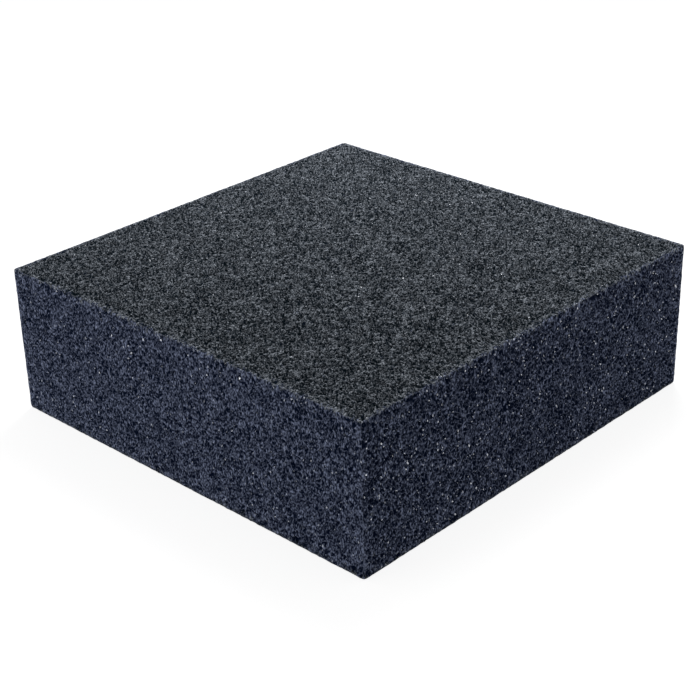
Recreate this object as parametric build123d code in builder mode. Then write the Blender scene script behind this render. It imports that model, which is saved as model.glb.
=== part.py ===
"""Polyethylene foam plank: a plain rectangular block of closed-cell foam.

The block is one piece, cut out of a larger plank. Its top and bottom are the plank's own planed faces and
its four sides are saw cuts, so every face is flat and every corner is square. The cut cells along an arris
crumble a little, which eases each edge by less than the width of one cell.

Frame: origin at the centre of the bottom face, +X along the longer side, +Z up through the thickness.
All lengths are in millimetres.
"""

import os

from build123d import *

# Driving dimensions
plank_length = 152.0  # along X, saw cut to saw cut
plank_width = 150.0  # along Y, saw cut to saw cut
plank_thickness = 50.0  # along Z, between the planed faces
edge_radius = 0.8  # easing of the arrises, about half the width of one foam cell

os.makedirs("parts", exist_ok=True)

# Foam block: the sawn outline, raised by the plank's thickness, with every arris eased
with BuildPart() as foam_plank:
    with BuildSketch(Plane.XY):
        Rectangle(plank_length, plank_width)
    extrude(amount=plank_thickness)
    fillet(foam_plank.edges(), radius=edge_radius)

foam_plank.part.label = "foam_plank"
export_step(foam_plank.part, "parts/foam_plank.step")
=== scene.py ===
"""Polyethylene foam plank on a pale studio floor.

The block is one closed mesh with the outline of the modelled plank. Its six flat faces are cut foam: every
face is divided into irregular cells, and each cell is a small cup that the blade has sliced open.
Lengths are written in millimetres and turned to metres when the mesh is made.
"""

import itertools
import math

import bpy
import numpy as np
from mathutils import Matrix, Vector
from mathutils.geometry import delaunay_2d_cdt


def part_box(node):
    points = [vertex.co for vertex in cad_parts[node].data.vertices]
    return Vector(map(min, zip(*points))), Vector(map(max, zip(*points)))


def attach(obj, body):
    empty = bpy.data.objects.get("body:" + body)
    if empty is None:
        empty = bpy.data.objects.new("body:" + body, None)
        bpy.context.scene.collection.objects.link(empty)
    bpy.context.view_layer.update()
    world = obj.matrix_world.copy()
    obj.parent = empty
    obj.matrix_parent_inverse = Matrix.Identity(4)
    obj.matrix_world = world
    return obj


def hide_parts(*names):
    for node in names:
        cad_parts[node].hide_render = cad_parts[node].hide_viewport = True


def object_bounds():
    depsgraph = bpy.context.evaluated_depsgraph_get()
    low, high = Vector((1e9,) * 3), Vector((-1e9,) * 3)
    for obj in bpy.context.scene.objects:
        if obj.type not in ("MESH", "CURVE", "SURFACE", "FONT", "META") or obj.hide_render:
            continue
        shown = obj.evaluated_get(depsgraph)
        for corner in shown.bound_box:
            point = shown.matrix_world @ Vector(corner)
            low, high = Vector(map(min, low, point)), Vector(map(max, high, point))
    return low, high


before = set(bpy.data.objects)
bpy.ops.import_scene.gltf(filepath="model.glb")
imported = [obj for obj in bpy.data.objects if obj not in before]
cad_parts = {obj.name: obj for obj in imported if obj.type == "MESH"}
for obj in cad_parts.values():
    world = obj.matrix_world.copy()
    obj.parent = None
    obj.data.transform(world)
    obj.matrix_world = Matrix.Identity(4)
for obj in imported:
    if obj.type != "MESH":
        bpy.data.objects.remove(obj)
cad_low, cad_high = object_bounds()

MM = 0.001  # one millimetre in metres
PLANK_NODE = "foam_plank"
RANDOM_SEED = 7

# Cut cells of the foam, in millimetres. They are laid out as round cells and then stretched by CELL_SHAPE
CELL_AREA = 2.32  # mean area of a sliced cell
CLOSEST_CELLS = 0.8  # between the middles of two cells
WIDEST_RADIUS = 2.4  # a wall end counts as no farther than this from the middle of its cell
TRIES_PER_CELL = 4  # places that are drawn, of which the too close ones are dropped
CELL_SHAPE = (0.92, 0.92, 1.22)  # shares of a round cell's size: the cells stand a little taller than wide
SHORTEST_WALL = 0.22  # a shorter cell wall is drawn as a point
SAME_POINT = 1e-7  # points as close as this are one
MIRRORED_WIDTH = 3.2  # of the band along a face's edge whose cells are mirrored in it
EDGE_STEP = 1.1  # between the wall ends along an edge of the block
EDGE_SHIFT_SHARE = 0.3  # of that step: how far a wall end may be off its even place
EDGE_CLEAR = 0.45  # no cell middle or wall end lies nearer to an edge of the block
EDGE_RADIUS = 0.8  # of the eased edges, as on the modelled plank
RAGGED_RIM = 0.14  # cell rims are torn down by up to this much
CUP_DEPTH_SHARES = (0.2, 1.8)  # of a cell's radius: the blade meets the cells at any height
FACE_DEPTH_SHARES = (0.6, 0.95, 1.0)  # of that depth, on the faces across X, Y and Z
DEEPEST_CUP = 1.6
WALL_SHARE = 0.7  # a cup is no deeper than this share of its distance from the nearest edge
WORN_WIDTH = 2.4  # how far in from an edge the cells are crushed and frayed, and lightened by painted highlight
CRUSHED_SHARE = 0.85  # of its depth that a cup loses on the edge itself

# Points of the cut surface: on an edge of the block, in the middle of a cell, or on the rim between cells
ON_EDGE, MIDDLE, RIM = range(3)
FOAM_FACTS = ("pit", "planed", "worn_and_lit_edge", "glint_share")  # what the finish knows of a point

# Grain of the cut foam, in millimetres
CELL_GRAIN = 1.0  # cell walls that catch more or less light
TORN_THREADS = 0.46  # the fringe that the blade leaves on a rim
SLOW_PATCHES = 7.0  # slow change of tone over a face
FINER_LAYERS = (1, 0, 1)  # of noise that each of these three has on top, at half its width
GRAIN_SCALE = (1.04, 1.04, 0.64)  # the torn walls are drawn out upwards, as the cells are
GRAIN_TURN = (0.4, 0.3, 0.5)  # radians, so that the grain lines up with no face
THREAD_HEIGHT = 0.25
THREAD_STRENGTH = 0.6  # share of the threads' height that the light shows

# Tone of the cut walls, from 0 in the painted shade of a deep cup to 1 on a pale torn rim
TONE_LEVEL = -0.86
GRAIN_TONE = 0.8
THREAD_TONE = 1.6
PATCH_TONE = 0.18
# paler along the edges: partly frayed cells, partly a painted highlight on the edge
WORN_AND_HIGHLIGHT_TONE = 0.13
# painted shade: the deeper a cup, the darker its colour
PAINTED_CUP_SHADE = -1.1
PLANED_TONE = -0.025
TONE_POWER = 1.75  # more of the surface is dark than pale

# Colours of the faces: the planed ones are a neutral grey and the sawn ones bluer, with a ragged border
SAWN_DARK, PLANED_DARK = "030F26", "041018"
SAWN_PALE, PLANED_PALE = "9FAACA", "A2A8B1"
BORDER_GRAIN = 5.0  # how far the grain pushes the border to and fro
BORDER_LEVEL = -2.0
BORDER_SLOPE = 1.3

# Flakes of bare cell wall that lie flat and flash: their coat mirrors, and their pale colour is a painted
# glint
PAINTED_GLINT_COLOUR = "DDE7FA"
FLAKE_SPACING = 1.2  # millimetres
GLINT_FLAKE_SHARES = (0.6, 1.0, 0.3)  # that show, each with its painted glint, on the faces across X, Y and Z
FLAKE_FRAY_SHARE = 0.4  # of the spacing: how far the torn threads push a flake's outline out
FLAKE_TRIM_SHARE = 0.05  # of the spacing: how far every outline is then drawn in
FLASH_LEVEL = 0.03  # of every flake
FLASH_POWER = 2.2  # strong flashes are rarer than weak ones, and strongest where most flakes show

# Gloss of polyethylene
POLYETHYLENE_IOR = 1.51
SHEEN_OF_WALLS = 0.02  # next to none, because light is lost among the threads
CUP_ROUGHNESS = 0.6
RIM_ROUGHNESS = 1.0
FLAKE_ROUGHNESS = 0.2
FLAKE_IOR = 3.8  # a stack of six clear films mirrors as much as one surface of this

# Flat map of the six faces, which the finish can be baked to
BAKE_MAP = "OFBake"
MAP_GAP = 1.5  # millimetres between the faces

# Camera, fitted to the corners of the block in the photograph
CAMERA_AIM = (-12.5, -10.7, 25.0)  # millimetres
CAMERA_DISTANCE = 514.6  # millimetres
CAMERA_AZIMUTH = -136.09  # degrees, of the direction from the aim to the camera
CAMERA_ELEVATION = 27.01
CAMERA_ROLL = -1.48
CAMERA_LENS = 84.03  # for a sensor 36 mm wide
SENSOR_WIDTH = 36.0
CLIP_RANGE = (0.01, 10.0)  # metres

# Studio
WHITE = "FFFFFF"
PAPER_COLOUR = "A0A0A0"
FLOOR_WIDTH = 6.0  # metres
FLOOR_GLOW = 0.84  # what the lit paper lacks to be plain white to the camera
ROOM_LIGHT = 0.455  # that falls on things
ROOM_WHITE = 1.0  # of the room itself, as the camera sees it
LAMP_TARGET = (0.0, 0.0, 0.025)  # metres, the middle of the block
SOFTBOXES = (  # name, place and width in metres, power in watts
    ("back softbox", (0.14, 0.08, 0.3), 0.2, 0.85),
    ("left softbox", (-0.45, 0.12, 0.06), 0.2, 0.29),
)


def linear(hex_colour):
    """Turns an sRGB hex colour such as "3D4248" to the linear RGBA that shaders take."""
    channels = [int(hex_colour[i : i + 2], 16) / 255 for i in (0, 2, 4)]
    return [c / 12.92 if c <= 0.04045 else ((c + 0.055) / 1.055) ** 2.4 for c in channels] + [1.0]


def add_node(tree, kind, inputs, **settings):
    """Adds one shader node. Settings are its own options; inputs are values or other nodes' outputs."""
    node = tree.nodes.new("ShaderNode" + kind)
    for name, value in settings.items():
        setattr(node, name, value)
    for name, value in inputs.items():
        if isinstance(value, bpy.types.NodeSocket):
            tree.links.new(value, node.inputs[name])
        else:
            node.inputs[name].default_value = value
    return node.outputs


def new_material(name):
    """An empty node material and its tree."""
    material = bpy.data.materials.new(name)
    material.use_nodes = True
    material.node_tree.nodes.clear()
    return material, material.node_tree


# The foam's surface: middles, rims and cups of the sliced cells


def edge_points(low, high, rng):
    """The block's corners, and points along its twelve edges where the cells of two faces meet."""
    points = [np.array(corner) for corner in itertools.product(*zip(low, high))]
    for along in range(3):
        second, third = (along + 1) % 3, (along + 2) % 3
        length = high[along] - low[along]
        count = round(length / EDGE_STEP)
        sides = itertools.product((low[second], high[second]), (low[third], high[third]))
        for at_second, at_third in sides:
            steps = np.arange(1, count) + rng.uniform(-EDGE_SHIFT_SHARE, EDGE_SHIFT_SHARE, count - 1)
            for step in steps:
                point = np.empty(3)
                point[along] = low[along] + step * length / count
                point[second], point[third] = at_second, at_third
                points.append(point)
    return np.array(points)


def scatter_middles(width, height, rng):
    """Scatters the middles of the cells over a face, no two of them closer than CLOSEST_CELLS."""
    wanted = round(width * height / CELL_AREA)
    low, high = (EDGE_CLEAR, EDGE_CLEAR), (width - EDGE_CLEAR, height - EDGE_CLEAR)
    taken = {}
    middles = []
    around = list(itertools.product((-1, 0, 1), repeat=2))
    for x, y in rng.uniform(low, high, (TRIES_PER_CELL * wanted, 2)):
        column, row = int(x / CLOSEST_CELLS), int(y / CLOSEST_CELLS)
        near = (other for i, j in around for other in taken.get((column + i, row + j), ()))
        if all((x - a) ** 2 + (y - b) ** 2 >= CLOSEST_CELLS**2 for a, b in near):
            taken.setdefault((column, row), []).append((x, y))
            middles.append((x, y))
            if len(middles) == wanted:
                break
    return np.array(middles)


def triangulate(points, walls):
    """Triangles over flat points, as index triples, with the walls kept as edges. New points come last."""
    found, _, triangles, origins, _, _ = delaunay_2d_cdt(
        [Vector(p) for p in points], [tuple(map(int, wall)) for wall in walls], [], 0, SAME_POINT
    )
    extra = []
    numbers = []
    for place, origin in zip(found, origins):
        if origin:
            numbers.append(origin[0])
        else:
            numbers.append(len(points) + len(extra))
            extra.append(tuple(place))
    return np.array(numbers)[np.array(triangles)], np.array(extra).reshape(-1, 2)


def cell_rims(middles, width, height):
    """Where the walls of three cells meet, the walls between those points, and each cell's radius."""
    # Cells mirrored in the face's edges close the cells along its border
    mirrored = [middles]
    for axis, length in ((0, width), (1, height)):
        for side in (0.0, length):
            copy = middles.copy()
            copy[:, axis] = 2 * side - copy[:, axis]
            mirrored.append(copy[np.abs(copy[:, axis] - side) < MIRRORED_WIDTH])
    seeds = np.concatenate(mirrored)
    triangles, _ = triangulate(seeds, [])

    # Three walls meet in the middle of the circle through three neighbouring cells
    a, b, c = seeds[triangles].transpose(1, 0, 2)
    b, c = b - a, c - a
    double_area = 2 * (b[:, 0] * c[:, 1] - b[:, 1] * c[:, 0])
    b_square, c_square = (b**2).sum(1), (c**2).sum(1)
    offset_x = c[:, 1] * b_square - b[:, 1] * c_square
    offset_y = b[:, 0] * c_square - c[:, 0] * b_square
    offset = np.stack([offset_x, offset_y], 1) / double_area[:, None]
    rims = a + offset
    reach = np.linalg.norm(offset, axis=1).clip(0, WIDEST_RADIUS)
    total = np.bincount(triangles.ravel(), np.repeat(reach, 3), len(seeds))
    count = np.bincount(triangles.ravel(), minlength=len(seeds))
    radius = (total / np.maximum(count, 1))[: len(middles)]

    # A wall runs between the meeting points of two triangles that share a side
    sides = np.sort(triangles[:, ((0, 1), (1, 2), (2, 0))].reshape(-1, 2), axis=1)
    owner = np.repeat(np.arange(len(triangles)), 3)
    order = np.lexsort((sides[:, 1], sides[:, 0]))
    sides, owner = sides[order], owner[order]
    paired = np.flatnonzero((sides[1:] == sides[:-1]).all(1))
    walls = np.stack([owner[paired], owner[paired + 1]], 1)
    return rims, walls, radius


def joined_rims(rims, walls, width, height):
    """Draws each short wall as one point, and keeps the rims that lie clear of the face's edges."""
    group = np.arange(len(rims))

    def leader(i):
        while group[i] != i:
            group[i] = group[group[i]]
            i = group[i]
        return i

    short = np.linalg.norm(rims[walls[:, 0]] - rims[walls[:, 1]], axis=1) < SHORTEST_WALL
    for first, second in walls[short]:
        group[leader(first)] = leader(second)
    group = np.array([leader(i) for i in range(len(rims))])
    member = np.unique(group, return_inverse=True)[1]
    count = np.bincount(member)
    places = np.stack([np.bincount(member, rims[:, k]) / count for k in (0, 1)], 1)
    far_sides = np.array((width, height)) - EDGE_CLEAR
    clear = (places > EDGE_CLEAR).all(1) & (places < far_sides).all(1)
    number = np.where(clear, np.cumsum(clear) - 1, -1)
    walls = np.unique(np.sort(number[member[walls]], axis=1), axis=0)
    walls = walls[(walls[:, 0] >= 0) & (walls[:, 0] != walls[:, 1])]
    return places[clear], walls


def cut_face(border, low, high, axis, at_top, rng):
    """Cuts one face of the block, across the numbered axis at its high or low side, into cells.

    Returns the new points on the flat face, how far each is sunk, how many of them are cell middles, and the
    triangles. These count the block's edge points first and then the new points, cell middles before rims.
    """
    across, up = (axis + 1) % 3, (axis + 2) % 3
    level = high[axis] if at_top else low[axis]
    corner = np.array((low[across], low[up]))
    size = np.array((high[across], high[up])) - corner

    edge = np.flatnonzero(border[:, axis] == level)
    turn = np.arctan2(*(border[edge][:, (up, across)] - (corner + size / 2)[::-1]).T)
    edge = edge[np.argsort(turn)]
    shape = np.array(CELL_SHAPE)[[across, up]]
    middles = scatter_middles(*size / shape, rng)
    rims, walls, radius = cell_rims(middles, *size / shape)
    rims, walls = joined_rims(rims, walls, *size / shape)
    ring = np.arange(len(edge))
    kept = np.concatenate([np.stack([ring, np.roll(ring, -1)], 1), walls + len(edge) + len(middles)])
    points = np.concatenate([border[edge][:, (across, up)] - corner, middles * shape, rims * shape])
    triangles, crossings = triangulate(points, kept)
    points = np.concatenate([points[len(edge) :], crossings])

    flat = np.full((len(points), 3), level)
    flat[:, (across, up)] = points + corner
    depth = FACE_DEPTH_SHARES[axis] * radius * rng.uniform(*CUP_DEPTH_SHARES, len(middles))
    depth = np.minimum(depth, DEEPEST_CUP)
    torn = RAGGED_RIM * rng.uniform(0, 1, len(points) - len(middles)) ** 2
    number = np.concatenate([edge, len(border) + np.arange(len(points))])
    triangles = number[triangles if at_top else triangles[:, ::-1]]
    return flat, np.concatenate([depth, torn]), len(middles), triangles


def foam_surface(low, high):
    """The cut surface of the whole block, in millimetres: its points, triangles and what each point is."""
    rng = np.random.default_rng(RANDOM_SEED)
    border = edge_points(low, high, rng)
    flats = [border]
    sinks = [RAGGED_RIM * rng.uniform(0, 1, len(border))]
    kinds = [np.full(len(border), ON_EDGE)]
    triangles, tiles = [], []
    total = len(border)
    for axis, at_top in itertools.product(range(3), (False, True)):
        flat, sunk, middle_count, found = cut_face(border, low, high, axis, at_top, rng)
        found[found >= len(border)] += total - len(border)
        flats.append(flat)
        sinks.append(sunk)
        kinds.append(np.where(np.arange(len(flat)) < middle_count, MIDDLE, RIM))
        triangles.append(found)
        tiles.append(np.full(len(found), 2 * axis + at_top))
        total += len(flat)
    flat, sunk, kind = np.concatenate(flats), np.concatenate(sinks), np.concatenate(kinds)

    # Cups are shallow near the edges, where the cells are crushed and the next face is close
    from_faces = np.minimum(flat - low, high - flat)
    from_edge = np.sort(from_faces, axis=1)[:, 1]
    worn_and_lit_edge = np.clip(1 - from_edge / WORN_WIDTH, 0, 1)
    cup = np.minimum(sunk * (1 - CRUSHED_SHARE * worn_and_lit_edge), WALL_SHARE * from_edge)
    sunk = np.where(kind == MIDDLE, cup, sunk)

    # Points sink straight in from the flat faces, and towards the middle of the easing on the edges
    core = np.clip(flat, low + EDGE_RADIUS, high - EDGE_RADIUS)
    outward = flat - core
    outward /= np.linalg.norm(outward, axis=1)[:, None]
    return {
        "places": core + outward * (EDGE_RADIUS - sunk)[:, None],
        "flat": flat,
        "kind": kind,
        "pit": np.where(kind == MIDDLE, sunk / DEEPEST_CUP, 0.0),
        "planed": np.clip((from_faces[:, :2].min(1) - from_faces[:, 2]) / WORN_WIDTH, -1, 1),
        "worn_and_lit_edge": worn_and_lit_edge,
        "glint_share": np.array(GLINT_FLAKE_SHARES)[from_faces.argmin(1)],
        "triangles": np.concatenate(triangles),
        "tiles": np.concatenate(tiles),
    }


def flat_map(surface, low, high):
    """Lays the six faces side by side in a unit square: the place there of each triangle's corners."""
    length, width, height = high - low
    right, above = 2 * MAP_GAP + length, 2 * MAP_GAP + width
    starts = np.array([
        (MAP_GAP, above),
        (MAP_GAP, above + height + MAP_GAP),
        (right, above),
        (right + height + MAP_GAP, above),
        (MAP_GAP, MAP_GAP),
        (right, MAP_GAP),
    ])
    tiles, triangles = surface["tiles"][:, None], surface["triangles"]
    across, up = (tiles // 2 + 1) % 3, (tiles // 2 + 2) % 3
    from_corner = surface["flat"] - low
    places = np.stack([from_corner[triangles, across], from_corner[triangles, up]], 2)
    return (places + starts[tiles]) / (right + length + MAP_GAP)


def plank_mesh(surface, low, high):
    """The closed mesh: smooth cups with crisp rims, its surface facts and a flat map of its six faces."""
    mesh = bpy.data.meshes.new("foam_plank_cells")
    mesh.from_pydata(surface["places"] * MM, [], surface["triangles"].tolist(), shade_flat=False)
    for name in FOAM_FACTS:
        mesh.attributes.new(name, "FLOAT", "POINT").data.foreach_set("value", surface[name])
    ends = np.empty(2 * len(mesh.edges), np.int32)
    mesh.edges.foreach_get("vertices", ends)
    crisp = (surface["kind"][ends.reshape(-1, 2)] == RIM).all(1)
    mesh.attributes.new("sharp_edge", "BOOLEAN", "EDGE").data.foreach_set("value", crisp)
    layout = mesh.uv_layers.new(name=BAKE_MAP)
    layout.uv.foreach_set("vector", flat_map(surface, low, high).astype(np.float32).ravel())
    return mesh


# Materials


def cut_foam():
    """Charcoal low-density polyethylene foam, cut by a blade.

    The blade leaves open cells: dull cups, darkened towards their middles by painted shade, with paler torn
    rims, partly frayed and partly a painted highlight near the edges, and here and there a flake of bare
    cell wall that lies flat and flashes, by a mirroring coat and by a pale painted glint in its colour. The
    rest has next to no
    gloss: light is lost among the threads.
    """
    material, tree = new_material("cut polyethylene foam")
    place = add_node(tree, "TexCoord", {})["Object"]
    turned = {"Vector": place, "Scale": GRAIN_SCALE, "Rotation": GRAIN_TURN}
    place = add_node(tree, "Mapping", turned)["Vector"]
    grain, threads, patches = (
        add_node(tree, "TexNoise", {"Vector": place, "Scale": 1 / (width * MM), "Detail": detail})["Fac"]
        for width, detail in zip((CELL_GRAIN, TORN_THREADS, SLOW_PATCHES), FINER_LAYERS)
    )
    pit, planed, worn_and_lit_edge, glint_share = (
        add_node(tree, "Attribute", {}, attribute_name=fact)["Fac"] for fact in FOAM_FACTS
    )

    # Tone of the cut walls
    tone = TONE_LEVEL
    layers = (
        (grain, GRAIN_TONE),
        (threads, THREAD_TONE),
        (patches, PATCH_TONE),
        # paler near the edges: frayed cells and a painted highlight
        (worn_and_lit_edge, WORN_AND_HIGHLIGHT_TONE),
        # painted shade in the cups
        (pit, PAINTED_CUP_SHADE),
        (planed, PLANED_TONE),
    )
    for layer, weight in layers:
        tone = add_node(tree, "Math", {0: layer, 1: weight, 2: tone}, operation="MULTIPLY_ADD")["Value"]
    tone = add_node(tree, "Math", {0: tone, 1: 0.0}, operation="ADD", use_clamp=True)["Value"]
    tone = add_node(tree, "Math", {0: tone, 1: TONE_POWER}, operation="POWER")["Value"]

    # Neutral planed faces, bluer sawn ones and the ragged border between them
    ragged = {0: grain, 1: BORDER_GRAIN, 2: BORDER_LEVEL}
    border = add_node(tree, "Math", ragged, operation="MULTIPLY_ADD")["Value"]
    sided = {0: planed, 1: BORDER_SLOPE, 2: border}
    border = add_node(tree, "Math", sided, operation="MULTIPLY_ADD", use_clamp=True)["Value"]
    darks = {0: border, 6: linear(SAWN_DARK), 7: linear(PLANED_DARK)}
    dark = add_node(tree, "Mix", darks, data_type="RGBA")[2]
    pales = {0: border, 6: linear(SAWN_PALE), 7: linear(PLANED_PALE)}
    pale = add_node(tree, "Mix", pales, data_type="RGBA")[2]
    colour = add_node(tree, "Mix", {0: tone, 6: dark, 7: pale}, data_type="RGBA")[2]

    # Flakes follow the torn threads in outline, and a few of them flash far more than the rest. Their pale
    # colour is a painted glint, their coat a real mirror
    flakes = add_node(tree, "TexVoronoi", {"Vector": place, "Scale": 1 / (FLAKE_SPACING * MM)})
    chance = add_node(tree, "SeparateColor", {"Color": flakes["Color"]})
    chosen = add_node(tree, "Math", {0: chance["Red"], 1: glint_share}, operation="LESS_THAN")["Value"]
    frayed = {0: threads, 1: -FLAKE_FRAY_SHARE, 2: flakes["Distance"]}
    outline = add_node(tree, "Math", frayed, operation="MULTIPLY_ADD")["Value"]
    inside = add_node(tree, "Math", {0: outline, 1: -FLAKE_TRIM_SHARE}, operation="LESS_THAN")["Value"]
    rare = add_node(tree, "Math", {0: chance["Green"], 1: FLASH_POWER}, operation="POWER")["Value"]
    flashing = {0: rare, 1: glint_share, 2: FLASH_LEVEL}
    flash = add_node(tree, "Math", flashing, operation="MULTIPLY_ADD")["Value"]
    flake_glint = add_node(tree, "Math", {0: chosen, 1: inside}, operation="MULTIPLY")["Value"]
    flake_glint = add_node(tree, "Math", {0: flake_glint, 1: flash}, operation="MULTIPLY")["Value"]
    # painted glint: the flakes' pale colour stands in for their flash
    painted_glint = {0: flake_glint, 6: colour, 7: linear(PAINTED_GLINT_COLOUR)}
    colour = add_node(tree, "Mix", painted_glint, data_type="RGBA")[2]

    # Rims are rougher than the cups. A flake is a stack of clear films, so it mirrors more than one film
    frosted = {0: tone, 1: RIM_ROUGHNESS - CUP_ROUGHNESS, 2: CUP_ROUGHNESS}
    rough = add_node(tree, "Math", frosted, operation="MULTIPLY_ADD", use_clamp=True)["Value"]
    raised = {"Height": threads, "Strength": THREAD_STRENGTH, "Distance": THREAD_HEIGHT * MM}
    finish = {
        "Base Color": colour,
        "Roughness": rough,
        "IOR": POLYETHYLENE_IOR,
        "Specular IOR Level": SHEEN_OF_WALLS,
        "Coat Weight": flake_glint,
        "Coat Roughness": FLAKE_ROUGHNESS,
        "Coat IOR": FLAKE_IOR,
        "Normal": add_node(tree, "Bump", raised)["Normal"],
    }
    shader = add_node(tree, "BsdfPrincipled", finish)["BSDF"]
    add_node(tree, "OutputMaterial", {"Surface": shader})
    return material


def seen_directly(tree):
    """1 for what the camera sees, also mirrored or through glass, and 0 for light that falls on things."""
    ray = add_node(tree, "LightPath", {})
    seen = ray["Is Camera Ray"]
    for also in ("Is Glossy Ray", "Is Transmission Ray"):
        seen = add_node(tree, "Math", {0: seen, 1: ray[also]}, operation="MAXIMUM")["Value"]
    return seen


def white_paper():
    """Matt white paper: plain white to the camera, apart from the block's own soft shadow."""
    material, tree = new_material("white paper sweep")
    lifted = {0: seen_directly(tree), 1: FLOOR_GLOW}
    strength = add_node(tree, "Math", lifted, operation="MULTIPLY")["Value"]
    glow = add_node(tree, "Emission", {"Color": linear(WHITE), "Strength": strength})["Emission"]
    paper = add_node(tree, "BsdfDiffuse", {"Color": linear(PAPER_COLOUR)})["BSDF"]
    surface = add_node(tree, "AddShader", {0: paper, 1: glow})["Shader"]
    add_node(tree, "OutputMaterial", {"Surface": surface})
    return material


# Studio


def add_object(name, data):
    """Puts new data into the scene as an object at the origin."""
    thing = bpy.data.objects.new(name, data)
    bpy.context.scene.collection.objects.link(thing)
    return thing


def add_camera():
    """The photograph's camera, placed by its aim, its distance and its viewing angles."""
    angles = (CAMERA_AZIMUTH, CAMERA_ELEVATION, CAMERA_ROLL)
    azimuth, elevation, roll = (math.radians(angle) for angle in angles)
    along = math.cos(elevation)
    back = Vector((along * math.cos(azimuth), along * math.sin(azimuth), math.sin(elevation)))
    level = (-back).cross(Vector((0, 0, 1))).normalized()
    upward = level.cross(-back)
    right = math.cos(roll) * level + math.sin(roll) * upward
    up = math.cos(roll) * upward - math.sin(roll) * level
    data = bpy.data.cameras.new("camera")
    data.lens = CAMERA_LENS
    data.sensor_width = SENSOR_WIDTH
    data.clip_start, data.clip_end = CLIP_RANGE
    camera = add_object("camera", data)
    turn = Matrix((right, up, back)).transposed().to_4x4()
    camera.matrix_world = Matrix.Translation((Vector(CAMERA_AIM) + CAMERA_DISTANCE * back) * MM) @ turn
    bpy.context.scene.camera = camera


def add_floor():
    """A wide sheet of paper under the block."""
    half = FLOOR_WIDTH / 2
    corners = [(-half, -half, 0), (half, -half, 0), (half, half, 0), (-half, half, 0)]
    data = bpy.data.meshes.new("floor")
    data.from_pydata(corners, [], [(0, 1, 2, 3)])
    data.materials.append(white_paper())
    floor = add_object("floor", data)
    floor.location.z = cad_low.z


def add_softbox(name, place, width, power):
    """A square soft lamp, turned to the block."""
    data = bpy.data.lights.new(name, "AREA")
    data.size = width
    data.energy = power
    lamp = add_object(name, data)
    lamp.location = place
    lamp.rotation_euler = (Vector(LAMP_TARGET) - Vector(place)).to_track_quat("-Z", "Y").to_euler()


def add_room_light():
    """Even light from the white room, plain white to the camera."""
    world = bpy.data.worlds.new("white room")
    bpy.context.scene.world = world
    world.use_nodes = True
    tree = world.node_tree
    tree.nodes.clear()
    levels = {"Factor": seen_directly(tree), 2: ROOM_LIGHT, 3: ROOM_WHITE}
    strength = add_node(tree, "Mix", levels, data_type="FLOAT")["Result"]
    white = {"Color": linear(WHITE), "Strength": strength}
    background = add_node(tree, "Background", white)["Background"]
    add_node(tree, "OutputWorld", {"Surface": background})


bpy.context.scene.view_settings.view_transform = "Standard"
add_camera()
add_floor()
add_room_light()
for softbox in SOFTBOXES:
    add_softbox(*softbox)

plank_low, plank_high = (np.array(corner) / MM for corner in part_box(PLANK_NODE))
plank_surface = foam_surface(plank_low, plank_high)
plank = add_object("foam_plank_cut", plank_mesh(plank_surface, plank_low, plank_high))
plank.data.materials.append(cut_foam())
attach(plank, "root")
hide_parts(PLANK_NODE)
